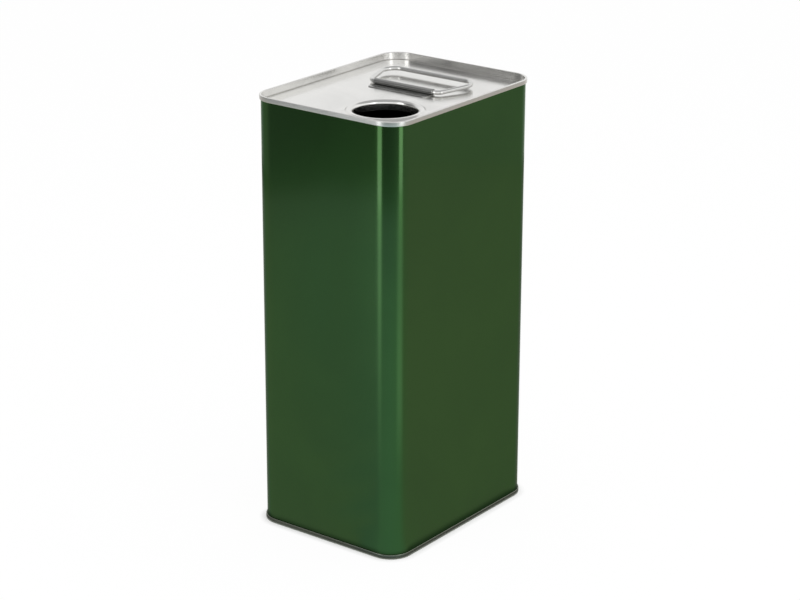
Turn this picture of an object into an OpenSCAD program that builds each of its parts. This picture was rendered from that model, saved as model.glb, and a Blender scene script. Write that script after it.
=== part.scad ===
// Five litre oil tin with a folding wire handle and an open pouring mouth

/* [Body] */
// Length of the body, outside the wall
body_length = 152; // [130:1:180]
// Width of the body, outside the wall
body_width = 118; // [105:1:140]
// Height from the resting face to the top of the upper seam
body_height = 300; // [200:1:360]
// Corner radius of the body, outside the wall
corner_radius = 15; // [12:0.5:22]
// Thickness of the body sheet
body_sheet = 0.28; // [0.24:0.01:0.34]
// Width of the raised weld down the hidden narrow side
weld_width = 1.4; // [0.8:0.1:3]
// How far the weld stands proud of the wall
weld_rise = 0.12; // [0.08:0.01:0.3]

/* [Ends] */
// Thickness of the sheet of both ends
end_sheet = 0.3; // [0.24:0.01:0.36]
// Height of each double seam
seam_height = 3.2; // [2.8:0.1:4]
// Gap between the folded layers of a seam
seam_gap = 0.02; // [0.01:0.005:0.05]
// Depth from the top of a seam to the groove inside it
countersink_depth = 5.8; // [5.2:0.1:6.4]
// How far the panel lies above the groove
panel_rise = 0.8; // [0.6:0.1:1.2]
// Width of the bottom of the groove
groove_width = 2.4; // [1.8:0.1:4]
// Distance from the body wall to the ring pressed into the bottom panel
ring_inset = 16; // [10:1:25]
// Width of the ring pressed into the bottom panel
ring_width = 7; // [5:0.5:10]
// Height of the ring pressed into the bottom panel
ring_rise = 1.2; // [0.8:0.1:2]
// Corner radius of the ring pressed into the bottom panel
ring_corner_radius = 14; // [12:1:18]

/* [Mouth] */
// Bore of the mouth that takes a spout or a cap
mouth_bore = 42; // [32:1:46]
// Distance from the mouth's middle to each of the two walls beside it
mouth_inset = 36.5; // [35:0.5:40]
// Depth of the collar drawn down into the tin, from the panel
collar_depth = 5.5; // [4:0.1:8]
// Width of the raised bead round the mouth
bead_width = 5.2; // [4.6:0.2:7]
// Height of the raised bead above the panel
bead_rise = 1.2; // [0.8:0.1:1.6]

/* [Handle] */
// Diameter of the handle wire
wire_diameter = 3; // [2.5:0.1:3.4]
// Distance from the mouth's middle to the hinge axis
hinge_offset = 49.5; // [47:0.5:52]
// Reach from the hinge axis to the middle of the grip bar
bail_reach = 32.5; // [28:0.5:34]
// Bend radius where the wire leaves the clip
clip_bend_radius = 5; // [4:0.5:7]
// Bend radius at the corners of the grip bar
grip_bend_radius = 9; // [6:0.5:11]
// Angle by which the sides spread towards the grip bar
side_flare = 18; // [8:1:22]
// Gap between the butted wire ends inside the clip
wire_end_gap = 1; // [0.4:0.1:3]
// Height of the grip bar's middle above the panel at rest
grip_rest_height = 3.4; // [2.6:0.1:4]
// Length of the hinge clip
clip_length = 48; // [40:1:54]
// Play of the wire along the clip, at each end
clip_end_play = 0.5; // [0.3:0.1:1]
// Thickness of the clip's sheet
clip_sheet = 0.5; // [0.4:0.05:0.7]
// Clearance between the wire and the clip
clip_clearance = 0.06; // [0.02:0.01:0.1]
// Reach of the clip's flange in front of the hinge axis
flange_reach = 9; // [8:0.5:11]
// Angle left open where the rolled sheet comes back to its flange
curl_opening = 50; // [45:1:70]
// Diameter of the spot weld marks on the flange
spot_diameter = 3.6; // [2.5:0.1:4]

/* [Hidden] */
$fn = 48;
half_length = body_length / 2;
half_width = body_width / 2;
wire_radius = wire_diameter / 2;
mouth_radius = mouth_bore / 2;
mouth_place = [mouth_inset - half_length, mouth_inset - half_width];

// Chords that stand for each bend of a sheet
bend_steps = 4;
// Space between the sealing compound and the sheet round it
compound_slack = 0.01;
// Overlap between the parts of one sheet, where they join flat
lap = 1;

// Places of the folded layers, measured outwards from the wall's outer face
chuck_wall_u = -body_sheet - seam_gap - end_sheet / 2;
body_wall_u = -body_sheet / 2;
cover_hook_u = seam_gap + end_sheet / 2;
body_hook_u = 2 * seam_gap + end_sheet + body_sheet / 2;
outer_wall_u = 3 * seam_gap + 1.5 * end_sheet + body_sheet;
groove_u = chuck_wall_u - groove_width;
panel_u = groove_u - 2 * end_sheet;

// Bend radii of the folded layers, at the middle of the sheet
cover_fold_radius = (outer_wall_u - cover_hook_u) / 2;
body_fold_radius = (body_hook_u - body_wall_u) / 2;
shoulder_radius = 0.3;
groove_radius = 0.5;
groove_step_radius = panel_rise / 2;

// Depths of the folded layers below the top of the seam
body_fold_depth = end_sheet + seam_gap + body_sheet / 2;
cover_tip_depth = body_fold_depth + body_sheet / 2 + 0.35;
body_tip_depth = seam_height - end_sheet - seam_gap;

// Heights on the upper panel
panel_depth = countersink_depth - panel_rise;
panel_z = body_height - panel_depth;
bead_slope = 1.4;
bead_bend_radius = 1.1;
collar_bend_radius = 2.4;
clip_radius = wire_radius + clip_clearance + clip_sheet;
hinge_x = mouth_place.x + hinge_offset;
hinge_z = panel_z + clip_radius;
rest_angle = asin((grip_rest_height - clip_radius) / bail_reach);

// Spot welds along the flange
spot_count = 4;
spot_dent = 0.12;

// Unit vector from a to b
function unit(a, b) = (b - a) / norm(b - a);

// Points of an arc of radius r that rounds corner b between a and c
function rounded_corner(a, b, c, r) =
    let (u = unit(b, a), v = unit(b, c), half = acos(u * v) / 2,
         middle = b + (u + v) / norm(u + v) * r / sin(half),
         first = b + u * r / tan(half) - middle,
         turn = cross(-u, v) > 0 ? 180 - 2 * half : 2 * half - 180)
    [for (i = [0 : bend_steps])
        let (t = turn * i / bend_steps)
        middle + [first.x * cos(t) - first.y * sin(t), first.x * sin(t) + first.y * cos(t)]];

// The points without those that repeat the one before, as where two bends meet in a fold
function without_repeats(points) = [
    for (i = [0 : len(points) - 1])
        if (i == 0 || norm(points[i] - points[max(i - 1, 0)]) > 0.001) points[i]];

// A bent line: each inner point of the path is rounded by its own radius
function bent(path, radii) = without_repeats([
    for (i = [0 : len(path) - 1])
        each (i == 0 || i == len(path) - 1 ? [path[i]]
              : rounded_corner(path[i - 1], path[i], path[i + 1], radii[i - 1]))]);

// Sideways step at point i of a line, one unit away from both edges that meet there
function side_step(line, i) =
    let (last = len(line) - 1,
         back = unit(line[max(i - 1, 0)], line[max(i, 1)]),
         ahead = unit(line[min(i, last - 1)], line[min(i + 1, last)]),
         n = [-(back.y + ahead.y), back.x + ahead.x])
    2 * n / (n * n);

// Cross section of a sheet of thickness t whose middle follows the line
module sheet_section(line, t) {
    polygon(concat(
        [for (i = [0 : len(line) - 1]) line[i] + side_step(line, i) * t / 2],
        [for (i = [len(line) - 1 : -1 : 0]) line[i] - side_step(line, i) * t / 2]));
}

// Carries a cross section round a rounded rectangle, as four runs and four corners.
// The section's x is measured outwards from the rectangle's edge.
module carry_round(length, width, r) {
    for (turn = [0 : 3])
        let (x = (turn == 0 || turn == 3 ? 1 : -1) * (length / 2 - r),
             y = (turn < 2 ? 1 : -1) * (width / 2 - r),
             run = turn % 2 == 0 ? width - 2 * r : length - 2 * r,
             reach = turn % 2 == 0 ? length / 2 : width / 2) {
            translate([x, y, 0]) rotate(90 * turn)
                rotate_extrude(angle = 90) translate([r, 0]) children();
            rotate(90 * turn) translate([reach, run / 2, 0]) rotate([90, 0, 0])
                linear_extrude(run) children();
        }
}

// Flat rounded rectangle
module rounded_rectangle(length, width, r) {
    square([length, width - 2 * r], center = true);
    square([length - 2 * r, width], center = true);
    for (x = [-1, 1], y = [-1, 1])
        translate([x * (length / 2 - r), y * (width / 2 - r)]) circle(r);
}

// The same, drawn in from the body's wall by an inset
module inset_plate(inset, r) {
    rounded_rectangle(body_length - 2 * inset, body_width - 2 * inset, r);
}

// Section of an end's rim: panel edge, groove, chuck wall, seam and cover hook
module end_rim_section() {
    path = [[panel_u - lap, -panel_depth - end_sheet / 2],
            [groove_u, -panel_depth - end_sheet / 2],
            [groove_u, -countersink_depth - end_sheet / 2],
            [chuck_wall_u, -countersink_depth - end_sheet / 2],
            [chuck_wall_u, -end_sheet / 2],
            [outer_wall_u, -end_sheet / 2],
            [outer_wall_u, end_sheet / 2 - seam_height],
            [cover_hook_u, end_sheet / 2 - seam_height],
            [cover_hook_u, -cover_tip_depth]];
    sheet_section(bent(path, [groove_step_radius, groove_step_radius, groove_radius,
                              shoulder_radius, shoulder_radius,
                              cover_fold_radius, cover_fold_radius]), end_sheet);
}

// Rim of an end with the top of its seam at height 0
module end_rim() {
    carry_round(body_length, body_width, corner_radius) end_rim_section();
}

// Sealing compound in the pocket between the cover hook's tip and the body hook
module compound_ring() {
    pocket_width = body_hook_u - body_sheet / 2;
    pocket_top = -body_fold_depth - body_sheet / 2;
    carry_round(body_length, body_width, corner_radius) {
        translate([pocket_width / 2, pocket_top - pocket_width / 2])
            circle(pocket_width / 2 - compound_slack, $fn = 16);
        translate([compound_slack, -cover_tip_depth])
            square([pocket_width - 2 * compound_slack,
                    cover_tip_depth + pocket_top - pocket_width / 2]);
    }
}

// Bead and collar of the mouth, pressed from the panel's own sheet
module mouth_ring() {
    collar_r = mouth_radius + end_sheet / 2;
    foot_r = mouth_radius + bead_width;
    path = [[foot_r + lap, 0], [foot_r, 0], [foot_r - bead_slope, bead_rise],
            [collar_r, bead_rise], [collar_r, end_sheet / 2 - collar_depth]];
    translate([mouth_place.x, mouth_place.y, panel_z - end_sheet / 2])
        rotate_extrude($fn = 96)
            sheet_section(bent(path, [bead_bend_radius, bead_bend_radius,
                                      collar_bend_radius]), end_sheet);
}

// Body sheet: one wrapper with a hook folded out at both ends and a welded lap
module body_wrapper() {
    path = [[body_hook_u, body_height - body_tip_depth],
            [body_hook_u, body_height - body_fold_depth],
            [body_wall_u, body_height - body_fold_depth],
            [body_wall_u, body_fold_depth],
            [body_hook_u, body_fold_depth],
            [body_hook_u, body_tip_depth]];
    fold_radii = [for (i = [1 : 4]) body_fold_radius];
    weld_stop = seam_height + weld_width;
    color("#3f5a38") {
        carry_round(body_length, body_width, corner_radius)
            sheet_section(bent(path, fold_radii), body_sheet);
        translate([half_length, 0, weld_stop])
            linear_extrude(body_height - 2 * weld_stop)
                polygon([[-body_sheet / 2, -weld_width / 2], [0, -weld_width / 2],
                         [weld_rise, -weld_width / 4], [weld_rise, weld_width / 4],
                         [0, weld_width / 2], [-body_sheet / 2, weld_width / 2]]);
    }
}

// Upper end: rim, panel, and the mouth's bead and collar
module top_end() {
    color("#d9d9d6") {
        translate([0, 0, body_height]) end_rim();
        translate([0, 0, panel_z - end_sheet]) linear_extrude(end_sheet)
            difference() {
                inset_plate(-panel_u, corner_radius + panel_u);
                translate(mouth_place) circle(mouth_radius + bead_width, $fn = 96);
            }
        mouth_ring();
    }
}

// Lower end: rim, panel and the ring pressed up into the tin
module bottom_end() {
    ring_radius = ring_rise / 2;
    sheet_z = panel_depth + end_sheet / 2;
    ring_path = [[lap, 0], [0, 0], [-ring_rise, ring_rise],
                 [ring_rise - ring_width, ring_rise], [-ring_width, 0], [-ring_width - lap, 0]];
    color("#c9cac8") {
        mirror([0, 0, 1]) end_rim();
        translate([0, 0, panel_depth]) linear_extrude(end_sheet) {
            difference() {
                inset_plate(-panel_u, corner_radius + panel_u);
                inset_plate(ring_inset, ring_corner_radius);
            }
            inset_plate(ring_inset + ring_width, ring_corner_radius - ring_width);
        }
        translate([0, 0, sheet_z])
            carry_round(body_length - 2 * ring_inset, body_width - 2 * ring_inset,
                        ring_corner_radius)
                sheet_section(bent(ring_path, [for (i = [1 : 4]) ring_radius]), end_sheet);
    }
}

module top_seam_compound() {
    color("#8d8a7c") translate([0, 0, body_height]) compound_ring();
}

module bottom_seam_compound() {
    color("#8d8a7c") mirror([0, 0, 1]) compound_ring();
}

// Hinge clip: a flange welded to the panel, rolled round the handle wire
module hinge_clip() {
    flange_corner = 2;
    flange_middle = -(flange_reach + clip_radius) / 2;
    spot_pitch = clip_length / spot_count;
    open_reach = 2 * clip_radius;
    color("#c4c4c0") translate([hinge_x, 0, hinge_z])
        difference() {
            union() {
                rotate([90, 0, 0]) linear_extrude(clip_length, center = true)
                    difference() {
                        circle(clip_radius);
                        circle(wire_radius + clip_clearance);
                        polygon([[0, 0], [0, -open_reach],
                                 open_reach * [-sin(curl_opening), -cos(curl_opening)]]);
                    }
                translate([0, 0, -clip_radius]) linear_extrude(clip_sheet) {
                    translate([-flange_reach / 2, 0])
                        rounded_rectangle(flange_reach, clip_length, flange_corner);
                    translate([-flange_reach / 2, -clip_length / 2])
                        square([flange_reach / 2, clip_length]);
                }
            }
            for (i = [0 : spot_count - 1])
                translate([flange_middle, (i - (spot_count - 1) / 2) * spot_pitch,
                           clip_sheet - clip_radius - spot_dent])
                    cylinder(d = spot_diameter, h = clip_sheet);
        }
}

// A straight stretch of handle wire along +X
module wire_run(length) {
    rotate([0, 90, 0]) cylinder(r = wire_radius, h = length);
}

// The slanting side along +X. It is a hair thinner than the bends and ends inside both of
// them, so that slanted end faces never have to meet exactly.
module wire_side(length) {
    overlap = 0.3;
    thinning = 0.03;
    translate([-overlap, 0, 0]) rotate([0, 90, 0])
        cylinder(r = wire_radius - thinning, h = length + 2 * overlap);
}

// A bend of handle wire about the origin, from +X round by an angle
module wire_bend(radius, angle) {
    rotate_extrude(angle = angle) translate([radius, 0]) circle(wire_radius);
}

// Half of the bail, lying flat with the hinge axis along Y
module half_bail() {
    side_turn = 90 - side_flare;
    grip_turn = 90 + side_flare;
    side_tangent = clip_bend_radius * tan(side_turn / 2);
    grip_tangent = grip_bend_radius * tan(grip_turn / 2);
    bend_start = clip_length / 2 + clip_end_play;
    side_length = bail_reach / cos(side_flare) - side_tangent - grip_tangent;
    grip_end = bend_start + side_tangent + bail_reach * tan(side_flare) - grip_tangent;
    translate([0, wire_end_gap / 2]) rotate(90) wire_run(bend_start - wire_end_gap / 2);
    translate([clip_bend_radius, bend_start]) {
        mirror([1, 0, 0]) wire_bend(clip_bend_radius, side_turn);
        translate(clip_bend_radius * [cos(grip_turn), sin(grip_turn)])
            rotate(side_flare) wire_side(side_length);
    }
    translate([bail_reach - grip_bend_radius, grip_end])
        wire_bend(grip_bend_radius, grip_turn);
    translate([bail_reach, 0]) rotate(90) wire_run(grip_end);
}

// Folding handle: one bent wire whose ends meet inside the clip
module bail_handle() {
    color("#8f8f8d") translate([hinge_x, 0, hinge_z]) rotate([0, -rest_angle, 0]) {
        half_bail();
        mirror([0, 1, 0]) half_bail();
    }
}

body_wrapper();
top_end();
bottom_end();
top_seam_compound();
bottom_seam_compound();
hinge_clip();
bail_handle();
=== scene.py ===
import math

import bmesh
import bpy
import numpy as np
from mathutils import Matrix, Vector


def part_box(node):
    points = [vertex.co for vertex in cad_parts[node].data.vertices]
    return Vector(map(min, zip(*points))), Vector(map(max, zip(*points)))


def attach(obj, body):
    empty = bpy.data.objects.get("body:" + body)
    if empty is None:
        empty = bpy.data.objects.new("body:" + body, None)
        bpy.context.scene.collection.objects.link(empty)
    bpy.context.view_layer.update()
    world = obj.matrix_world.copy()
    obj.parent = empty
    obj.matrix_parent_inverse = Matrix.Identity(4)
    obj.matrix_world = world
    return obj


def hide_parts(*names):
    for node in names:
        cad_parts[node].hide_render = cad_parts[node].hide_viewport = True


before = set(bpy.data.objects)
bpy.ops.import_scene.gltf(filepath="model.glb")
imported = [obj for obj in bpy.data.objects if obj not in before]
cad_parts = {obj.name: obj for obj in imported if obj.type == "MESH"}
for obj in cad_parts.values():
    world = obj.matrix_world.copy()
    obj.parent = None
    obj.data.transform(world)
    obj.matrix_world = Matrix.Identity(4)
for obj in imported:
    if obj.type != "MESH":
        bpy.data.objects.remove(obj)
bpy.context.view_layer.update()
print("frame loaded with", len(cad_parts), "nodes")

mm = 0.001
mergeDistance = 1e-7  # points nearer to each other than this are one point

# Camera: where it looks from, and how far to the side and how high the point is that it looks at
camera = dict(azimuth=-52.776, elevation=19.734, distance=1.6348, aimRight=0.00378,
              aimHeight=0.1502, roll=0.188, focalPixels=2414.9, frameWidth=800, sensor=36.0,
              nearest=0.05, farthest=20)


def addCamera():
    az, el, roll = (math.radians(camera[k]) for k in ("azimuth", "elevation", "roll"))
    back = Vector((math.sin(az) * math.cos(el), -math.cos(az) * math.cos(el), math.sin(el)))
    right = Vector((0, 0, 1)).cross(back).normalized()
    up = back.cross(right)
    aim = right * camera["aimRight"] + Vector((0, 0, camera["aimHeight"]))
    tiltedRight = right * math.cos(roll) + up * math.sin(roll)
    tiltedUp = up * math.cos(roll) - right * math.sin(roll)
    data = bpy.data.cameras.new("productCamera")
    data.sensor_width = camera["sensor"]
    data.lens = camera["focalPixels"] / camera["frameWidth"] * camera["sensor"]
    data.clip_start = camera["nearest"]
    data.clip_end = camera["farthest"]
    obj = bpy.data.objects.new("productCamera", data)
    turn = Matrix((tiltedRight, tiltedUp, back)).transposed()
    obj.matrix_world = Matrix.Translation(aim + back * camera["distance"]) @ turn.to_4x4()
    bpy.context.scene.collection.objects.link(obj)
    bpy.context.scene.camera = obj


addCamera()
print("camera placed")

# Sizes of the tin. The outline comes from the frame, the sheet and the seam are the CAD's.
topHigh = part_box("top_end")[1]
tin = dict(bodySheet=0.28 * mm, endSheet=0.30 * mm, seamGap=0.02 * mm, cornerRadius=15 * mm,
           seamHeight=3.2 * mm, countersink=5.8 * mm, panelRise=0.8 * mm, grooveWidth=2.4 * mm,
           shoulderRadius=0.3 * mm, grooveRadius=0.5 * mm, hookTipGap=0.35 * mm,
           seamTuck=0.08 * mm, foldShare=0.94, wallRow=4 * mm)
seamReach = 3 * tin["seamGap"] + 2 * tin["endSheet"] + tin["bodySheet"]
halfLength = topHigh.x - seamReach
halfWidth = topHigh.y - seamReach
tinHeight = topHigh.z

# Where the folded layers lie, measured outwards from the wall's outer face
chuckWallU = -tin["bodySheet"] - tin["seamGap"] - tin["endSheet"] / 2
bodyWallU = -tin["bodySheet"] / 2
coverHookU = tin["seamGap"] + tin["endSheet"] / 2
bodyHookU = 2 * tin["seamGap"] + tin["endSheet"] + tin["bodySheet"] / 2
outerWallU = seamReach - tin["endSheet"] / 2
grooveU = chuckWallU - tin["grooveWidth"]
panelU = grooveU - 2 * tin["endSheet"]
bodyFoldDepth = tin["endSheet"] + tin["seamGap"] + tin["bodySheet"] / 2
coverTipDepth = bodyFoldDepth + tin["bodySheet"] / 2 + tin["hookTipGap"]
bodyTipDepth = tin["seamHeight"] - tin["endSheet"] - tin["seamGap"]
panelZ = tinHeight - tin["countersink"] + tin["panelRise"]

# Points round every loop of the tin: steps on a short side, on a long side and in a corner
loopSteps = dict(shortSide=44, longSide=60, corner=18)


# A closed round-cornered loop as three arrays: how far along and across the straight sides
# each point lies, from -1 to 1, and the angle of its outward normal.
def loopPattern():
    short = np.linspace(-1, 1, loopSteps["shortSide"], endpoint=False)
    long = np.linspace(-1, 1, loopSteps["longSide"], endpoint=False)
    turn = np.linspace(0, np.pi / 2, loopSteps["corner"], endpoint=False)
    one = np.ones(turn.size)
    along = np.concatenate([np.ones(short.size), one, -long, -one,
                            -np.ones(short.size), -one, long, one])
    across = np.concatenate([short, one, np.ones(long.size), one,
                             -short, -one, -np.ones(long.size), -one])
    angle = np.concatenate([np.zeros(short.size), turn,
                            np.full(long.size, np.pi / 2), np.pi / 2 + turn,
                            np.full(short.size, np.pi), np.pi + turn,
                            np.full(long.size, 1.5 * np.pi), 1.5 * np.pi + turn])
    return along, across, angle


loopAlong, loopAcross, loopAngle = loopPattern()


# Loops round a rounded rectangle: the corner centre of each side, plus (radius + u) along the
# outward normal, at height z. u and z hold one value a loop; u may also vary round the loop.
def rectangleLoops(u, z, inset=0.0, radius=tin["cornerRadius"]):
    u = np.asarray(u, float)
    u = u[:, None] if u.ndim == 1 else u
    z = np.asarray(z, float)
    z = z[:, None] if z.ndim == 1 else z
    x = loopAlong * (halfLength - inset - radius) + (radius + u) * np.cos(loopAngle)
    y = loopAcross * (halfWidth - inset - radius) + (radius + u) * np.sin(loopAngle)
    return np.stack([x, y, z + 0 * x], axis=-1)


# Bends a line: each inner point is replaced by an arc of its own radius, tangent to both
# stretches that meet there.
def bentLine(points, radii, steps=6):
    points = np.asarray(points, float)
    pieces = [points[:1]]
    for before, corner, after, radius in zip(points, points[1:], points[2:], radii):
        a = (before - corner) / np.linalg.norm(before - corner)
        b = (after - corner) / np.linalg.norm(after - corner)
        half = np.arccos(np.clip(a @ b, -1, 1)) / 2
        centre = corner + (a + b) / np.linalg.norm(a + b) * radius / np.sin(half)
        start = corner + a * radius / np.tan(half) - centre
        sweep = np.sign(b[0] * a[1] - b[1] * a[0]) * (np.pi - 2 * half)
        t = np.linspace(0, sweep, steps + 1)[:, None]
        turned = np.hstack([start[0] * np.cos(t) - start[1] * np.sin(t),
                            start[0] * np.sin(t) + start[1] * np.cos(t)])
        pieces.append(centre + turned)
    pieces.append(points[-1:])
    line = np.concatenate(pieces)
    keep = np.append(True, np.linalg.norm(np.diff(line, axis=0), axis=1) > mergeDistance)
    return line[keep]


# Adds evenly spaced points to every stretch of a line that is longer than a step
def filledLine(line, step):
    parts = [np.linspace(a, b, max(int(np.linalg.norm(b - a) / step), 1), endpoint=False)
             for a, b in zip(line, line[1:])]
    return np.concatenate(parts + [line[-1:]])


# Both sides of a sheet whose middle follows a line: the line moved by half the thickness
# along its normal, which at a bend is the mean of the two neighbouring edges' normals.
def sheetSides(line, thickness):
    edges = np.diff(line, axis=0)
    normals = np.stack([-edges[:, 1], edges[:, 0]], axis=1)
    normals /= np.linalg.norm(normals, axis=1)[:, None]
    before = np.vstack([normals[:1], normals])
    after = np.vstack([normals, normals[-1:]])
    mean = before + after
    offset = 2 * mean / (mean ** 2).sum(axis=1)[:, None] * thickness / 2
    return line + offset, line - offset


# A mesh from a grid of points: quads between neighbours, joined round both ways where asked.
# Rows that shrink to a point are merged, and faces are turned to point outwards.
def gridMesh(name, grid, closedRows=False, closedColumns=True, sharpAngle=40):
    rows, columns = grid.shape[:2]
    index = np.arange(rows * columns).reshape(rows, columns)
    if closedRows:
        index = np.vstack([index, index[:1]])
    if closedColumns:
        index = np.hstack([index, index[:, :1]])
    quads = np.stack([index[:-1, :-1], index[1:, :-1], index[1:, 1:], index[:-1, 1:]], axis=-1)
    quads = quads.reshape(-1, 4)
    points = grid.reshape(-1, 3)
    corners = points[quads]
    volume = (np.cross(corners[:, 0], corners[:, 1]) * corners[:, 2]).sum()
    volume += (np.cross(corners[:, 0], corners[:, 2]) * corners[:, 3]).sum()
    if volume < 0:
        quads = quads[:, ::-1]
    mesh = bpy.data.meshes.new(name)
    mesh.vertices.add(len(points))
    mesh.vertices.foreach_set("co", points.ravel())
    mesh.loops.add(quads.size)
    mesh.loops.foreach_set("vertex_index", quads.ravel())
    mesh.polygons.add(len(quads))
    mesh.polygons.foreach_set("loop_start", np.arange(0, quads.size, 4))
    mesh.update(calc_edges=True)
    mesh.polygons.foreach_set("use_smooth", np.ones(len(quads), bool))
    mergePoles(mesh)
    mesh.set_sharp_from_angle(angle=math.radians(sharpAngle))
    obj = bpy.data.objects.new(name, mesh)
    bpy.context.scene.collection.objects.link(obj)
    return obj


# Joins the points of a row that has shrunk to one place
def mergePoles(mesh):
    work = bmesh.new()
    work.from_mesh(mesh)
    bmesh.ops.remove_doubles(work, verts=work.verts, dist=mergeDistance)
    work.to_mesh(mesh)
    work.free()


# Waves of the body's flat sides: the sheet is never quite flat between its corners. straight
# is the cosine above which a normal counts as square to its side.
wallWaves = dict(hollow=0.22 * mm, ripple=0.05 * mm, across=(5.3, 2.7), up=(4.1, 7.9),
                 fade=0.7, straight=0.999)


# Outward offset of the wall: a shallow hollow that fades to nothing at the corners and seams,
# with two slow ripples laid over it.
def wallOffset(along, across, angle, z):
    onShort = np.abs(np.cos(angle)) > wallWaves["straight"]
    onLong = np.abs(np.sin(angle)) > wallWaves["straight"]
    side = np.where(onShort, across, np.where(onLong, along, 1.0))
    flat = (1 - side ** 2) ** 2
    rise = np.clip(z / tinHeight, 0, 1)[:, None]
    fade = np.sin(np.pi * rise) ** wallWaves["fade"]
    sideways, upwards = wallWaves["across"], wallWaves["up"]
    ripple = np.sin(sideways[0] * side + upwards[0] * rise + angle)
    ripple += np.sin(upwards[1] * rise - sideways[1] * side)
    return flat * fade * (-wallWaves["hollow"] + wallWaves["ripple"] * ripple)


# The body sheet: its folded section carried round the tin, outside face first
def makeBody():
    path = [[bodyHookU, tinHeight - bodyTipDepth], [bodyHookU, tinHeight - bodyFoldDepth],
            [bodyWallU, tinHeight - bodyFoldDepth], [bodyWallU, bodyFoldDepth],
            [bodyHookU, bodyFoldDepth], [bodyHookU, bodyTipDepth]]
    fold = (bodyHookU - bodyWallU) / 2
    line = filledLine(bentLine(path, [fold] * 4), tin["wallRow"])
    outer, inner = sheetSides(line, tin["bodySheet"])
    outline = np.vstack([outer, inner[::-1]])
    waves = wallOffset(loopAlong, loopAcross, loopAngle, outline[:, 1])
    waves *= (np.abs(outline[:, 0] - bodyWallU) < tin["bodySheet"])[:, None]
    return gridMesh("bodyShell", rectangleLoops(outline[:, :1] + waves, outline[:, 1]),
                    closedRows=True)


# The side weld: a low rounded strip down the wall, its height a half cosine across
weld = dict(width=1.4 * mm, rise=0.12 * mm, sunk=0.1 * mm, tipShare=0.05, rows=120, columns=8)


def makeSideWeld():
    stop = tin["seamHeight"] + weld["width"]
    z = np.linspace(stop, tinHeight - stop, weld["rows"])
    across = np.linspace(-1, 1, weld["columns"])
    wall = wallOffset(np.ones(1), np.zeros(1), np.zeros(1), z)
    face = halfLength + wall + weld["rise"] * np.cos(across * np.pi / 2)
    fromTip = np.minimum(z - z[0], z[-1] - z) / weld["width"]
    ends = np.minimum(1, fromTip + weld["tipShare"])[:, None]
    y = np.broadcast_to(across * weld["width"] / 2, face.shape)
    height = np.broadcast_to(z[:, None], face.shape)
    front = np.stack([halfLength + wall + (face - halfLength - wall) * ends, y, height], axis=-1)
    back = np.stack([0 * face + halfLength + wall - weld["sunk"], y, height], axis=-1)
    ring = np.concatenate([front, back[:, ::-1]], axis=1)
    middle = ring.mean(axis=1, keepdims=True)
    ring = np.concatenate([np.broadcast_to(middle[:1], ring[:1].shape), ring,
                           np.broadcast_to(middle[-1:], ring[-1:].shape)])
    return gridMesh("sideWeld", ring)


# Section of an end's rim, from the panel's edge over the seam to the cover hook's tip,
# with heights measured from the top of the seam
def rimLine():
    path = [[panelU, -tin["countersink"] + tin["panelRise"] - tin["endSheet"] / 2],
            [grooveU, -tin["countersink"] + tin["panelRise"] - tin["endSheet"] / 2],
            [grooveU, -tin["countersink"] - tin["endSheet"] / 2],
            [chuckWallU, -tin["countersink"] - tin["endSheet"] / 2],
            [chuckWallU, -tin["endSheet"] / 2],
            [outerWallU, -tin["endSheet"] / 2],
            [outerWallU - tin["seamTuck"], tin["endSheet"] / 2 - tin["seamHeight"]],
            [coverHookU, tin["endSheet"] / 2 - tin["seamHeight"]],
            [coverHookU, -coverTipDepth]]
    step = tin["panelRise"] / 2
    fold = (outerWallU - tin["seamTuck"] - coverHookU) / 2 * tin["foldShare"]
    return bentLine(path, [step, step, tin["grooveRadius"], tin["shoulderRadius"],
                           tin["shoulderRadius"], fold, fold], steps=7)


# The mouth: place, bore, and the section of its bead and collar
mouth = dict(inset=36.5 * mm, bore=42 * mm, collarDepth=5.5 * mm, beadWidth=5.2 * mm,
             beadRise=1.2 * mm, beadSlope=1.4 * mm, beadBend=1.1 * mm, collarBend=2.4 * mm,
             apron=1 * mm)
mouthPlace = np.array([mouth["inset"] - halfLength, mouth["inset"] - halfWidth])


# Section of the mouth, from the collar's lower edge over the bead and out onto the panel
def mouthLine():
    collar = (mouth["bore"] + tin["endSheet"]) / 2
    foot = mouth["bore"] / 2 + mouth["beadWidth"]
    middle = panelZ - tin["endSheet"] / 2
    path = [[collar, panelZ - mouth["collarDepth"]], [collar, middle + mouth["beadRise"]],
            [foot - mouth["beadSlope"], middle + mouth["beadRise"]], [foot, middle],
            [foot + mouth["apron"], middle]]
    return bentLine(path, [mouth["collarBend"], mouth["beadBend"], mouth["beadBend"]], steps=8)


# Circles about the mouth's axis, with their points on the lines from that axis to the points
# of the tin's own outline, so that both kinds of loop can be joined point to point.
def mouthLoops(radius, z):
    edge = rectangleLoops([panelU], [0])[0, :, :2] - mouthPlace
    unit = edge / np.linalg.norm(edge, axis=1)[:, None]
    xy = mouthPlace + radius[:, None, None] * unit
    return np.concatenate([xy, np.broadcast_to(z[:, None, None], xy.shape[:2] + (1,))], axis=-1)


# The top panel's rows, and the slow wave in their height: a sine along the tin times a cosine
# across it
topPanel = dict(rows=14, wave=0.05 * mm, turns=(61, 74), shift=(1.3, -0.4))


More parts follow.
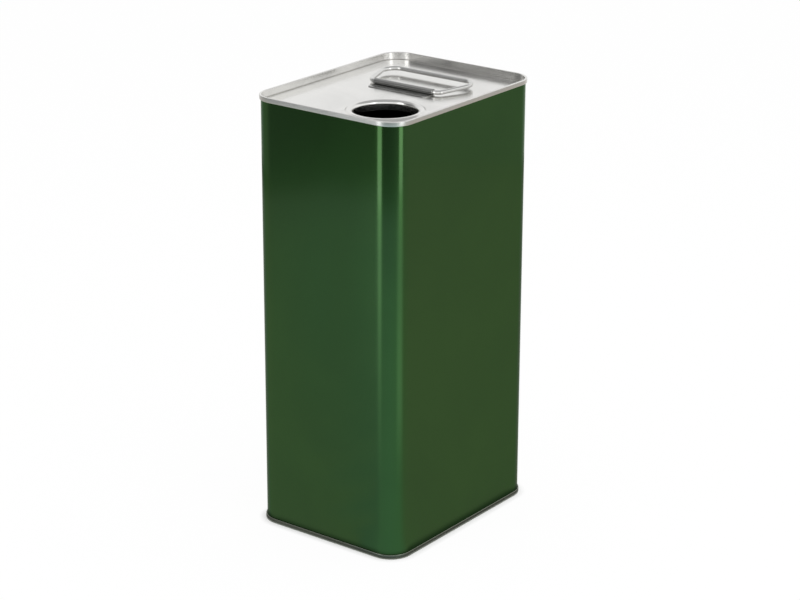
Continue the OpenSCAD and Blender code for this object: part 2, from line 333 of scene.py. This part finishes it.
# Upper end: mouth section, panel and rim section in one ring. The panel's rows are spread
# evenly between the two, and its wave fades to nothing at both.
def makeTopEnd():
    mouthUp, mouthDown = sheetSides(mouthLine(), tin["endSheet"])
    rimUp, rimDown = sheetSides(rimLine(), tin["endSheet"])
    share = np.linspace(0, 1, topPanel["rows"] + 2)[1:-1, None, None]
    turns, shift = topPanel["turns"], topPanel["shift"]
    sides = []
    for mouthSide, rimSide in ((mouthUp, rimUp), (mouthDown, rimDown)):
        inner = mouthLoops(mouthSide[:, 0], mouthSide[:, 1])
        outer = rectangleLoops(rimSide[:, 0], rimSide[:, 1] + tinHeight)
        panel = inner[-1:] + (outer[:1] - inner[-1:]) * share
        wave = np.sin(panel[..., 0] * turns[0] + shift[0])
        wave *= np.cos(panel[..., 1] * turns[1] + shift[1])
        panel[..., 2] += topPanel["wave"] * wave * np.sin(np.pi * share[..., 0])
        sides.append(np.concatenate([inner, panel, outer]))
    return gridMesh("topEnd", np.concatenate([sides[0], sides[1][::-1]]), closedRows=True)


# The ring pressed into the bottom panel
bottomRing = dict(inset=16 * mm, width=7 * mm, rise=1.2 * mm, cornerRadius=14 * mm,
                  apron=1 * mm, centreRows=10)


# Lower end: the rim turned over, the panel, and its pressed ring, closed at the centre
def makeBottomEnd():
    rise, width, apron = (bottomRing[k] for k in ("rise", "width", "apron"))
    ring = bentLine([[-width - apron, 0], [-width, 0], [rise - width, rise], [-rise, rise],
                     [0, 0], [apron, 0]], [rise / 2] * 4)
    middle = tin["countersink"] - tin["panelRise"] + tin["endSheet"] / 2
    ringUp, ringDown = sheetSides(ring, tin["endSheet"])
    rim = rimLine() * [1, -1]
    rimUp, rimDown = sheetSides(rim, tin["endSheet"])
    sides = []
    share = np.linspace(0, 1, bottomRing["centreRows"])[:, None, None]
    for ringSide, rimSide in ((ringUp, rimUp), (ringDown, rimDown)):
        ringLoops = rectangleLoops(ringSide[:, 0], ringSide[:, 1] + middle,
                                   bottomRing["inset"], bottomRing["cornerRadius"])
        rimLoops = rectangleLoops(rimSide[:, 0], rimSide[:, 1])
        pole = ringLoops[:1] * [0, 0, 1]
        centre = pole + (ringLoops[:1] - pole) * share
        between = ringLoops[-1:] + (rimLoops[:1] - ringLoops[-1:]) * share[1:-1]
        sides.append(np.concatenate([centre, ringLoops[1:], between, rimLoops]))
    return gridMesh("bottomEnd", np.concatenate([sides[0], sides[1][::-1]]))


# The handle's hinge axis, and the wire and clip that turn on it
hinge = dict(offset=49.5 * mm, wireDiameter=3 * mm, clearance=0.06 * mm, clipSheet=0.5 * mm)
clipRadius = hinge["wireDiameter"] / 2 + hinge["clearance"] + hinge["clipSheet"]
hingeX = mouthPlace[0] + hinge["offset"]
hingeZ = panelZ + clipRadius

clip = dict(length=48 * mm, flangeReach=9 * mm, cornerRadius=2 * mm, curlOpening=50,
            curlSteps=44, flangeSteps=40, flangeEase=1.5, lengthSteps=160, spotCount=4,
            spotDiameter=3.6 * mm, spotDent=0.12 * mm, spotEdge=0.85, spotSharpness=14,
            edgeBevel=0.08 * mm)


# Hinge clip: the sheet's middle surface, flat along the flange and then round the wire, as a
# function of the distance along the sheet and the place along the hinge. Spot welds are round
# dents with a soft edge. Solidify gives the sheet its thickness.
def makeHingeClip():
    middleRadius = clipRadius - hinge["clipSheet"] / 2
    ease = np.linspace(0, 1, clip["flangeSteps"], endpoint=False) ** clip["flangeEase"]
    flangeX = -clip["flangeReach"] * (1 - ease)
    flange = np.stack([flangeX, np.full(flangeX.size, -middleRadius)], axis=1)
    sweep = np.radians(np.linspace(-90, 270 - clip["curlOpening"], clip["curlSteps"]))
    curl = middleRadius * np.stack([np.cos(sweep), np.sin(sweep)], axis=1)
    section = np.vstack([flange, curl])
    fromFront = np.append(flangeX + clip["flangeReach"], np.full(sweep.size, clip["length"]))
    inCorner = np.clip(1 - fromFront / clip["cornerRadius"], 0, 1)
    trim = clip["cornerRadius"] * (1 - np.sqrt(1 - inCorner ** 2))
    place = np.linspace(-1, 1, clip["lengthSteps"])
    y = place * (clip["length"] / 2 - trim)[:, None]
    x = np.broadcast_to(section[:, :1], y.shape)
    z = np.broadcast_to(section[:, 1:], y.shape).copy()
    pitch = clip["length"] / clip["spotCount"]
    along = (y / pitch + clip["spotCount"] / 2) % 1 - 0.5
    spotX = -(clip["flangeReach"] + clipRadius) / 2
    away = np.hypot(along * pitch, x - spotX) / (clip["spotDiameter"] / 2)
    dent = 1 / (1 + np.exp((away - clip["spotEdge"]) * clip["spotSharpness"]))
    z[:flangeX.size] -= clip["spotDent"] * dent[:flangeX.size]
    grid = np.stack([x + hingeX, y, z + hingeZ], axis=-1)
    obj = gridMesh("hingeClip", grid, closedColumns=False)
    thicken = obj.modifiers.new("sheet", "SOLIDIFY")
    thicken.thickness = hinge["clipSheet"]
    thicken.offset = 0
    soften = obj.modifiers.new("edges", "BEVEL")
    soften.width = clip["edgeBevel"]
    soften.segments = 2
    soften.limit_method = "ANGLE"
    return obj


# The bail, its flare in degrees, and how many points each stretch of it has
bail = dict(reach=32.5 * mm, clipBend=5 * mm, gripBend=9 * mm, sideFlare=18.0,
            endGap=1 * mm, endPlay=0.5 * mm, cutEnd=0.9, gripRest=3.4 * mm, wireSides=28)
bailSteps = dict(run=20, clipBend=14, side=12, gripBend=22, grip=16)


# Half of the bail's centre line in its own plane: along the clip, round the first bend, down
# the flared side, round the second bend and to the middle of the grip
def halfBailLine():
    flare = math.radians(bail["sideFlare"])
    firstTurn = np.pi / 2 - flare
    secondTurn = np.pi / 2 + flare
    bendStart = clip["length"] / 2 + bail["endPlay"]
    firstTangent = bail["clipBend"] * math.tan(firstTurn / 2)
    secondTangent = bail["gripBend"] * math.tan(secondTurn / 2)
    gripEnd = bendStart + firstTangent + bail["reach"] * math.tan(flare) - secondTangent
    first = np.linspace(np.pi, secondTurn, bailSteps["clipBend"])
    second = np.linspace(secondTurn, 0, bailSteps["gripBend"])
    run = np.linspace(bail["endGap"] / 2, bendStart, bailSteps["run"], endpoint=False)
    bendOne = np.stack([bail["clipBend"] * (1 + np.cos(first)),
                        bendStart + bail["clipBend"] * np.sin(first)], axis=1)
    bendTwo = np.stack([bail["reach"] + bail["gripBend"] * (np.cos(second) - 1),
                        gripEnd + bail["gripBend"] * np.sin(second)], axis=1)
    side = np.linspace(bendOne[-1], bendTwo[0], bailSteps["side"])[1:-1]
    grip = np.linspace(gripEnd, 0, bailSteps["grip"])[1:]
    return np.vstack([np.stack([0 * run, run], axis=1), bendOne, side, bendTwo,
                      np.stack([0 * grip + bail["reach"], grip], axis=1)])


# The bail: circles square to the centre line, shrunk at both cut ends, in a plane that turns
# up about the hinge axis by the angle at rest
def makeBail():
    half = halfBailLine()
    line = np.vstack([half, half[-2::-1] * [1, -1]])
    tangent = np.gradient(line, axis=0)
    tangent /= np.linalg.norm(tangent, axis=1)[:, None]
    side = np.stack([-tangent[:, 1], tangent[:, 0]], axis=1)
    radius = np.full(len(line), hinge["wireDiameter"] / 2)
    line = np.vstack([line[:1], line[:1], line, line[-1:], line[-1:]])
    side = np.vstack([side[:1], side[:1], side, side[-1:], side[-1:]])
    shrunk = radius[:1] * bail["cutEnd"]
    radius = np.concatenate([[0], shrunk, radius, shrunk, [0]])
    around = np.linspace(0, 2 * np.pi, bail["wireSides"], endpoint=False)
    out = radius[:, None] * np.cos(around)
    lift = radius[:, None] * np.sin(around)
    reach = line[:, :1] + side[:, :1] * out
    y = line[:, 1:] + side[:, 1:] * out
    rest = math.asin((bail["gripRest"] - clipRadius) / bail["reach"])
    x = hingeX + reach * math.cos(rest) - lift * math.sin(rest)
    z = hingeZ + reach * math.sin(rest) + lift * math.cos(rest)
    return gridMesh("bailHandle", np.stack([x, y, z], axis=-1))


# Adds a node, sets its plain values and links its inputs
def addNode(tree, kind, values=None, links=None, **settings):
    node = tree.nodes.new(kind)
    for key, value in settings.items():
        setattr(node, key, value)
    for key, value in (values or {}).items():
        node.inputs[key].default_value = value
    for key, source in (links or {}).items():
        tree.links.new(source, node.inputs[key])
    return node


# A node group with named inputs and outputs
def newGroup(name, inputs, outputs):
    tree = bpy.data.node_groups.new(name, "ShaderNodeTree")
    for label, kind, value in inputs:
        socket = tree.interface.new_socket(label, in_out="INPUT", socket_type=kind)
        if value is not None:
            socket.default_value = value
    for label, kind in outputs:
        tree.interface.new_socket(label, in_out="OUTPUT", socket_type=kind)
    return tree, addNode(tree, "NodeGroupInput"), addNode(tree, "NodeGroupOutput")


# Rolling lines: noise drawn out along one axis, as the mill leaves them in sheet
def buildRollingLines():
    tree, given, out = newGroup("rollingLines",
                                [("Vector", "NodeSocketVector", None),
                                 ("Stretch", "NodeSocketVector", (30, 2000, 2000))],
                                [("Lines", "NodeSocketFloat")])
    scaled = addNode(tree, "ShaderNodeVectorMath", operation="MULTIPLY",
                     links={0: given.outputs["Vector"], 1: given.outputs["Stretch"]})
    noise = addNode(tree, "ShaderNodeTexNoise", {"Scale": 1.0, "Detail": 3.0},
                    {"Vector": scaled.outputs[0]})
    tree.links.new(noise.outputs["Fac"], out.inputs["Lines"])
    return tree


# Handling marks: soft cloudy patches with a few sharper smears inside them
def buildHandlingMarks():
    tree, given, out = newGroup("handlingMarks",
                                [("Vector", "NodeSocketVector", None),
                                 ("Scale", "NodeSocketFloat", 18.0)],
                                [("Marks", "NodeSocketFloat")])
    cloud = addNode(tree, "ShaderNodeTexNoise",
                    {"Detail": 4.0, "Roughness": 0.6, "Distortion": 0.6},
                    {"Vector": given.outputs["Vector"], "Scale": given.outputs["Scale"]})
    soft = addNode(tree, "ShaderNodeMapRange", {"From Min": 0.38, "From Max": 0.72},
                   {"Value": cloud.outputs["Fac"]})
    tree.links.new(soft.outputs["Result"], out.inputs["Marks"])
    return tree


rollingLines = buildRollingLines()
handlingMarks = buildHandlingMarks()


# The emptied node tree of a material or of the world
def emptiedTree(owner):
    owner.use_nodes = True
    owner.node_tree.nodes.clear()
    return owner.node_tree


def newMaterial(name):
    material = bpy.data.materials.new(name)
    tree = emptiedTree(material)
    shader = addNode(tree, "ShaderNodeBsdfPrincipled")
    addNode(tree, "ShaderNodeOutputMaterial", links={"Surface": shader.outputs["BSDF"]})
    coordinates = addNode(tree, "ShaderNodeTexCoord").outputs["Object"]
    return material, tree, shader, coordinates


def useGroup(tree, group, vector, **values):
    node = addNode(tree, "ShaderNodeGroup", node_tree=group)
    tree.links.new(vector, node.inputs["Vector"])
    for key, value in values.items():
        node.inputs[key].default_value = value
    return node


# A value carried over from one range to another, and held at its ends
def mapped(tree, value, low, high, fromLow=0.0, fromHigh=1.0):
    return addNode(tree, "ShaderNodeMapRange",
                   {"From Min": fromLow, "From Max": fromHigh, "To Min": low, "To Max": high},
                   {"Value": value}).outputs["Result"]


# Two colours mixed by a share; each is a fixed colour or the output of a node
def mixColours(tree, share, first, second):
    node = addNode(tree, "ShaderNodeMix", data_type="RGBA")
    for socket, colour in ((node.inputs[6], first), (node.inputs[7], second)):
        if isinstance(colour, tuple):
            socket.default_value = colour + (1.0,)
        else:
            tree.links.new(colour, socket)
    tree.links.new(share, node.inputs[0])
    return node.outputs[2]


# Distance from the corner centres' rectangle: equal to the corner radius on the wall's outer
# face, larger outside it
cornerCentre = (halfLength - tin["cornerRadius"], halfWidth - tin["cornerRadius"], 0)


def outlineDistance(tree, place):
    flat = addNode(tree, "ShaderNodeVectorMath", {1: (1, 1, 0)}, {0: place}, operation="MULTIPLY")
    place = addNode(tree, "ShaderNodeVectorMath", links={0: flat.outputs[0]},
                    operation="ABSOLUTE").outputs[0]
    for operation, value in (("SUBTRACT", cornerCentre), ("MAXIMUM", (0, 0, 0))):
        place = addNode(tree, "ShaderNodeVectorMath", {1: value}, {0: place},
                        operation=operation).outputs[0]
    return addNode(tree, "ShaderNodeVectorMath", links={0: place},
                   operation="LENGTH").outputs["Value"]


# How deep the relief of the rolling lines is in every sheet
reliefDepth = 0.02 * mm

# What the tinplate pieces share: the range of the grain, the size of the handling marks, the
# painted shade that darkens the rim the tin stands on, and where on a seam's outer face the
# scuffing by the seaming rolls starts and is full, measured outwards from the body's wall
sheetFinish = dict(grainLow=0.3, grainHigh=1.4, markScale=24.0,
                   baseShadeColour=(0.22, 0.24, 0.20), baseShadeFade=1 * mm,
                   scuffStart=0.4 * mm, scuffFull=0.7 * mm)

# Finish of each tinplate piece: the two colours that handling marks mix, the roughness and how
# far grain raises it, how the rolling lines are drawn out and how strong their relief is. scuff
# is the roughness that scuffing adds, and the height given to the bottom is how far up the painted
# shade at its foot reaches.
topFinish = dict(colour=(0.76, 0.755, 0.735), dullColour=(0.70, 0.695, 0.68), roughness=0.16,
                 spread=0.10, stretch=(1800, 30, 1800), relief=0.25, scuff=0.12)
# The bottom's colours are darker than the top's: painted shade, the same tinplate made darker for
# the shade at the tin's foot.
bottomFinish = dict(colour=(0.62, 0.62, 0.60), dullColour=(0.50, 0.50, 0.48), roughness=0.3,
                    spread=0.14, stretch=(1800, 30, 1800), relief=0.3,
                    baseShadeHeight=tin["seamHeight"] + 0.4 * mm)
# The clip's colours are set darker than the other tinplate to stand in for the dark reflection
# along its tube: painted shade.
clipFinish = dict(colour=(0.46, 0.46, 0.45), dullColour=(0.37, 0.37, 0.365), roughness=0.16,
                  spread=0.12, stretch=(1500, 40, 1500), relief=0.3)
wireFinish = dict(colour=(0.72, 0.72, 0.705), dullColour=(0.62, 0.62, 0.61), roughness=0.2,
                  spread=0.14, stretch=(900, 60, 900), relief=0.3)
weldFinish = dict(colour=(0.34, 0.35, 0.37), dullColour=(0.22, 0.22, 0.23), roughness=0.35,
                  spread=0.2, stretch=(600, 600, 1400), relief=0.6)


# Bright tinplate: a plain metal with rolling lines and handling marks
def tinplate(name, colour, dullColour, roughness, spread, stretch, relief, scuff=None,
             baseShadeHeight=None):
    material, tree, shader, coordinates = newMaterial(name)
    lines = useGroup(tree, rollingLines, coordinates, Stretch=stretch).outputs["Lines"]
    marks = useGroup(tree, handlingMarks, coordinates,
                     Scale=sheetFinish["markScale"]).outputs["Marks"]
    tint = mixColours(tree, marks, colour, dullColour)
    # Painted shade: the sheet is darkened towards the rim the tin stands on, up to the given
    # height.
    if baseShadeHeight:
        height = addNode(tree, "ShaderNodeSeparateXYZ", links={0: coordinates}).outputs["Z"]
        inBaseShade = mapped(tree, height, 1.0, 0.0, baseShadeHeight,
                         baseShadeHeight + sheetFinish["baseShadeFade"])
        tint = mixColours(tree, inBaseShade, tint, sheetFinish["baseShadeColour"])
    tree.links.new(tint, shader.inputs["Base Color"])
    grain = addNode(tree, "ShaderNodeMath", operation="MULTIPLY_ADD",
                    links={0: lines, 2: marks}).outputs[0]
    grade = mapped(tree, grain, roughness, roughness + spread,
                   sheetFinish["grainLow"], sheetFinish["grainHigh"])
    if scuff:
        onSeam = mapped(tree, outlineDistance(tree, coordinates), 0.0, scuff,
                        tin["cornerRadius"] + sheetFinish["scuffStart"],
                        tin["cornerRadius"] + sheetFinish["scuffFull"])
        grade = addNode(tree, "ShaderNodeMath", links={0: grade, 1: onSeam},
                        operation="ADD").outputs[0]
    tree.links.new(grade, shader.inputs["Roughness"])
    bump = addNode(tree, "ShaderNodeBump", {"Strength": relief, "Distance": reliefDepth},
                   {"Height": lines})
    tree.links.new(bump.outputs["Normal"], shader.inputs["Normal"])
    shader.inputs["Metallic"].default_value = 1.0
    return material


# Green lacquer over tinplate: the sheet shows through it, so it is a tinted metal under a
# clear coat. The margin beside the side weld is left bare.
lacquer = dict(green=(0.041, 0.125, 0.028), deepGreen=(0.034, 0.108, 0.025),
               bareTin=(0.62, 0.61, 0.58), bareHalfWidth=4.5 * mm, bareDepth=2 * mm,
               roughness=0.165, spread=0.06, coatRoughness=0.08, coatWeight=0.6,
               edgeTint=(0.16, 0.4, 0.14, 1), stretch=(1600, 1600, 24), markScale=9.0,
               relief=0.12)


def lacquerMaterial():
    material, tree, shader, coordinates = newMaterial("greenLacquer")
    parts = addNode(tree, "ShaderNodeSeparateXYZ", links={0: coordinates})
    lines = useGroup(tree, rollingLines, coordinates, Stretch=lacquer["stretch"]).outputs["Lines"]
    marks = useGroup(tree, handlingMarks, coordinates, Scale=lacquer["markScale"]).outputs["Marks"]
    green = mixColours(tree, marks, lacquer["green"], lacquer["deepGreen"])
    onWeldSide = addNode(tree, "ShaderNodeMath", {1: halfLength - lacquer["bareDepth"]},
                         {0: parts.outputs["X"]}, operation="GREATER_THAN").outputs[0]
    fromWeld = addNode(tree, "ShaderNodeMath", links={0: parts.outputs["Y"]},
                       operation="ABSOLUTE").outputs[0]
    inMargin = addNode(tree, "ShaderNodeMath", {1: lacquer["bareHalfWidth"]},
                       {0: fromWeld}, operation="LESS_THAN").outputs[0]
    bare = addNode(tree, "ShaderNodeMath", links={0: onWeldSide, 1: inMargin},
                   operation="MULTIPLY").outputs[0]
    tree.links.new(mixColours(tree, bare, green, lacquer["bareTin"]), shader.inputs["Base Color"])
    dulled = lacquer["roughness"] + lacquer["spread"]
    tree.links.new(mapped(tree, marks, lacquer["roughness"], dulled), shader.inputs["Roughness"])
    coat = addNode(tree, "ShaderNodeMath", {0: lacquer["coatWeight"]}, {1: bare},
                   operation="SUBTRACT", use_clamp=True)
    tree.links.new(coat.outputs[0], shader.inputs["Coat Weight"])
    bump = addNode(tree, "ShaderNodeBump",
                   {"Strength": lacquer["relief"], "Distance": reliefDepth}, {"Height": lines})
    tree.links.new(bump.outputs["Normal"], shader.inputs["Normal"])
    shader.inputs["Metallic"].default_value = 1.0
    shader.inputs["Coat Roughness"].default_value = lacquer["coatRoughness"]
    shader.inputs["Specular Tint"].default_value = lacquer["edgeTint"]
    return material


# Dull grey sealing compound, hidden in the seams
paste = dict(colour=(0.36, 0.34, 0.29), darkColour=(0.27, 0.26, 0.22), smooth=0.6, rough=0.8,
             markScale=60.0)


def compoundMaterial():
    material, tree, shader, coordinates = newMaterial("sealingCompound")
    marks = useGroup(tree, handlingMarks, coordinates, Scale=paste["markScale"]).outputs["Marks"]
    tree.links.new(mixColours(tree, marks, paste["colour"], paste["darkColour"]),
                   shader.inputs["Base Color"])
    tree.links.new(mapped(tree, marks, paste["smooth"], paste["rough"]),
                   shader.inputs["Roughness"])
    return material


print("materials and shapes defined")
bodyShell = makeBody()
sideWeld = makeSideWeld()
topEnd = makeTopEnd()
bottomEnd = makeBottomEnd()
hingeClip = makeHingeClip()
bailHandle = makeBail()
print("pieces built")

greenLacquer = lacquerMaterial()
topTin = tinplate("topTinplate", **topFinish)
bottomTin = tinplate("bottomTinplate", **bottomFinish)
clipTin = tinplate("clipTinplate", **clipFinish)
wireTin = tinplate("handleWire", **wireFinish)
weldSteel = tinplate("weldSteel", **weldFinish)
compound = compoundMaterial()

dressing = [(bodyShell, greenLacquer, "can", "body_wrapper", "lacquered_body"),
            (sideWeld, weldSteel, "can", None, "lacquered_body"),
            (topEnd, topTin, "can", "top_end", "tinplate_top"),
            (bottomEnd, bottomTin, "can", "bottom_end", "tinplate_bottom"),
            (hingeClip, clipTin, "can", "hinge_clip", "clip_steel"),
            (bailHandle, wireTin, "bail", "bail_handle", "handle_wire")]
for piece, material, body, node, slotName in dressing:
    piece.data.materials.append(material)
    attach(piece, body)
    if node:
        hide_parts(node)
for node in ("top_seam_compound", "bottom_seam_compound"):
    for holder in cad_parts[node].material_slots:
        holder.material = compound
print("pieces dressed")

# Stage: a pale floor, a white background and a soft lamp overhead. The floor's own glow fades
# close to the tin, where the shadow under its edge shows.
stage = dict(floorSize=14.0, floorColour=0.86, floorGlow=0.96, contactGlow=0.3,
             contactReach=5 * mm, roomLight=0.85,
             lampPlace=(0.2, -0.3, 1.5), lampAim=(0, 0, 0.2), lampSize=1.4, lampPower=9.0)


# One for rays that should see the background white: the camera's, mirrored and refracted ones
def backgroundRays(tree):
    rays = addNode(tree, "ShaderNodeLightPath")
    seen = addNode(tree, "ShaderNodeMath", operation="MAXIMUM",
                   links={0: rays.outputs["Is Camera Ray"], 1: rays.outputs["Is Glossy Ray"]})
    return addNode(tree, "ShaderNodeMath", operation="MAXIMUM",
                   links={0: seen.outputs[0], 1: rays.outputs["Is Transmission Ray"]}).outputs[0]


def addFloor():
    half = stage["floorSize"] / 2
    mesh = bpy.data.meshes.new("floor")
    mesh.from_pydata([(-half, -half, 0), (half, -half, 0), (half, half, 0), (-half, half, 0)],
                     [], [(0, 1, 2, 3)])
    floor = bpy.data.objects.new("floor", mesh)
    bpy.context.scene.collection.objects.link(floor)
    material = bpy.data.materials.new("paleFloor")
    tree = emptiedTree(material)
    pale = addNode(tree, "ShaderNodeBsdfDiffuse", {"Color": (stage["floorColour"],) * 3 + (1,)})
    glow = addNode(tree, "ShaderNodeEmission", {"Strength": 1.0})
    place = addNode(tree, "ShaderNodeTexCoord").outputs["Object"]
    edge = tin["cornerRadius"] + seamReach
    level = mapped(tree, outlineDistance(tree, place), stage["contactGlow"], stage["floorGlow"],
                   edge, edge + stage["contactReach"])
    share = addNode(tree, "ShaderNodeMath", links={0: level, 1: backgroundRays(tree)},
                    operation="MULTIPLY")
    mix = addNode(tree, "ShaderNodeMixShader",
                  links={0: share.outputs[0], 1: pale.outputs[0], 2: glow.outputs[0]})
    addNode(tree, "ShaderNodeOutputMaterial", links={"Surface": mix.outputs[0]})
    mesh.materials.append(material)


def addRoom():
    world = bpy.data.worlds.new("studio")
    bpy.context.scene.world = world
    tree = emptiedTree(world)
    room = addNode(tree, "ShaderNodeBackground", {"Strength": stage["roomLight"]})
    white = addNode(tree, "ShaderNodeBackground", {"Strength": 1.0})
    for background in (room, white):
        background.inputs["Color"].default_value = (1, 1, 1, 1)
    mix = addNode(tree, "ShaderNodeMixShader",
                  links={0: backgroundRays(tree), 1: room.outputs[0], 2: white.outputs[0]})
    addNode(tree, "ShaderNodeOutputWorld", links={"Surface": mix.outputs[0]})


def addLamp(name, place, aim, size, power, sizeY=None, inReflections=True):
    data = bpy.data.lights.new(name, "AREA")
    data.shape = "RECTANGLE"
    data.size = size
    data.size_y = sizeY or size
    data.energy = power
    lamp = bpy.data.objects.new(name, data)
    lamp.location = place
    lamp.rotation_euler = (Vector(aim) - Vector(place)).to_track_quat("-Z", "Y").to_euler()
    lamp.visible_camera = False
    lamp.visible_glossy = inReflections
    bpy.context.scene.collection.objects.link(lamp)


# Studio cards that only reflections show: a round wall with a ceiling, and a sheet on the
# ground round the tin. Directions are in degrees from +X towards +Y.
# The wall has one glow at its foot, which takes half of the ground's tint, and another above.
wallCard = dict(radius=0.9, height=1.0, steps=144, ceilingGlow=0.5,
                radiusShare=(1, 1, 1, 1, 0.98, 0.9, 0.7, 0.45, 0.2, 0.02),
                heightShare=(0, 0.25, 0.5, 0.9, 0.98, 1, 1, 1, 1, 1),
                highShare=(0, 0, 1, 1, 1, 1, 1, 1, 1, 1),
                ceilingShare=(0, 0, 0, 0, 0.5, 1, 1, 1, 1, 1),
                turn=(0, 20, 78, 104, 130, 145, 150, 215, 250, 285, 322, 345, 360),
                low=(0.8, 0.8, 0.6, 0.4, 0.33, 0.1, 0.12, 0.16, 0.24, 0.42, 0.41, 0.6, 0.8),
                high=(0.97, 0.99, 0.99, 0.24, 0.17, 0.17, 1, 1.3, 1.3, 1.2, 1.13, 1.1, 0.97))

# The ground's directions are seen from the tin's front corner. farShare is what is left of its
# glow from farFull outwards. Near the tin it fades to contactGlow, a painted contact shadow.
groundCard = dict(turn=(0, 100, 134, 143, 170, 215, 256, 285, 323, 360),
                  red=(0.5, 0.5, 0.45, 0.36, 0.46, 0.48, 0.48, 0.48, 0.495, 0.5),
                  green=(0.5, 0.48, 0.46, 0.43, 0.58, 0.62, 0.62, 0.49, 0.45, 0.45),
                  blue=(0.5, 0.44, 0.42, 0.46, 0.58, 0.62, 0.58, 0.41, 0.40, 0.40),
                  farShare=(0.6, 0.5, 0.35, 0.3, 0.3, 0.35, 0.6, 0.9, 0.95, 0.9),
                  farStart=0.72, farFull=0.8, contactGlow=0.13, contactStart=0.003,
                  contactReach=0.01, height=0.3 * mm,
                  rows=(1, 4, 7, 9, 11, 13, 16, 25, 60, 110, 180, 260, 400, 560, 690, 730, 770,
                        810, 840, 900))

# What the left and the right strip lamp throw on the ground
spills = (dict(middle=158, width=11, glow=0.9, start=0.04, full=0.72),
          dict(middle=260, width=15, glow=0.34, start=0.12, full=0.3))


def addCard(name, grid, glow):
    obj = gridMesh(name, grid)
    shine = obj.data.attributes.new("glow", "FLOAT_COLOR", "POINT")
    opaque = np.ones(glow.shape[:2] + (1,))
    shine.data.foreach_set("color", np.append(glow, opaque, axis=2).ravel())
    material = bpy.data.materials.new(name)
    tree = emptiedTree(material)
    level = addNode(tree, "ShaderNodeAttribute", attribute_name="glow")
    light = addNode(tree, "ShaderNodeEmission", links={"Color": level.outputs["Color"]})
    addNode(tree, "ShaderNodeOutputMaterial", links={"Surface": light.outputs[0]})
    obj.data.materials.append(material)
    obj.visible_camera = obj.visible_diffuse = obj.visible_shadow = False


# From 0 at start to 1 at full, level at both ends: 3 s^2 - 2 s^3
def smoothRise(value, start, full):
    share = np.clip((value - start) / (full - start), 0, 1)
    return share * share * (3 - 2 * share)


def groundColours(degrees):
    return np.stack([np.interp(degrees, groundCard["turn"], groundCard[colour])
                     for colour in ("red", "green", "blue")], axis=-1)


# Circles about the tin, up the wall and inwards over the ceiling
def addWall():
    turn = np.linspace(0, 2 * np.pi, wallCard["steps"], endpoint=False)
    circle = np.stack([np.cos(turn), np.sin(turn), 0 * turn], axis=-1)
    radius = np.array(wallCard["radiusShare"]) * wallCard["radius"]
    height = np.array(wallCard["heightShare"]) * wallCard["height"]
    grid = circle * radius[:, None, None] + height[:, None, None] * [0, 0, 1]
    low = np.interp(np.degrees(turn), wallCard["turn"], wallCard["low"])[:, None]
    high = np.interp(np.degrees(turn), wallCard["turn"], wallCard["high"])[:, None]
    tint = groundColours(np.degrees(turn))
    low = low * (tint / tint[:, 1:2] + 1) / 2
    isHigh = np.array(wallCard["highShare"])[:, None, None]
    isCeiling = np.array(wallCard["ceilingShare"])[:, None, None]
    glow = (low + (high - low) * isHigh) * (1 - isCeiling) + wallCard["ceilingGlow"] * isCeiling
    addCard("studioWall", grid, glow)


# The tin's own outline, pushed outwards row by row
def addGround():
    out = np.array(groundCard["rows"]) * mm
    grid = rectangleLoops(seamReach + out, 0 * out + groundCard["height"])
    fromCorner = grid[..., :2] + np.array(cornerCentre[:2])
    turn = np.degrees(np.arctan2(fromCorner[..., 1], fromCorner[..., 0])) % 360
    glow = groundColours(turn)
    far = smoothRise(out, groundCard["farStart"], groundCard["farFull"])[:, None, None]
    farShare = np.interp(turn, groundCard["turn"], groundCard["farShare"])[..., None]
    glow *= 1 - (1 - farShare) * far
    for spill in spills:
        bump = np.exp(-((turn - spill["middle"]) / spill["width"]) ** 4)
        rise = smoothRise(out, spill["start"], spill["full"])[:, None]
        glow += (spill["glow"] * bump * rise)[..., None]
    # Painted contact shadow: close to the tin the sheet's glow falls to contactGlow.
    near = smoothRise(out, groundCard["contactStart"], groundCard["contactReach"])[:, None, None]
    addCard("groundSheet", grid, groundCard["contactGlow"] * (1 - near) + glow * near)


# Two tall strip lamps, which make the bright lines down the front corner. They stand at a
# direction and a distance from the centre of that corner's bend, and face it.
strips = dict(height=1.0, glow=4.7, leftTurn=158.5, leftWidth=0.31, leftDistance=0.8,
              rightTurn=260, rightWidth=0.42, rightDistance=0.835)


def addStrip(name, turn, width, distance):
    corner = Vector(cornerCentre)
    place = Vector((math.cos(math.radians(turn)), math.sin(math.radians(turn)), 0))
    place = place * distance - corner + Vector((0, 0, strips["height"] / 2))
    aim = Vector((0, 0, place.z)) - corner
    power = strips["glow"] * width * strips["height"]
    addLamp(name, place, aim, width, power, strips["height"])


addFloor()
addRoom()
addWall()
addGround()
addLamp("overheadLamp", stage["lampPlace"], stage["lampAim"], stage["lampSize"],
        stage["lampPower"], inReflections=False)
addStrip("leftStrip", strips["leftTurn"], strips["leftWidth"], strips["leftDistance"])
addStrip("rightStrip", strips["rightTurn"], strips["rightWidth"], strips["rightDistance"])
bpy.context.scene.view_settings.view_transform = "Standard"
print("stage set")
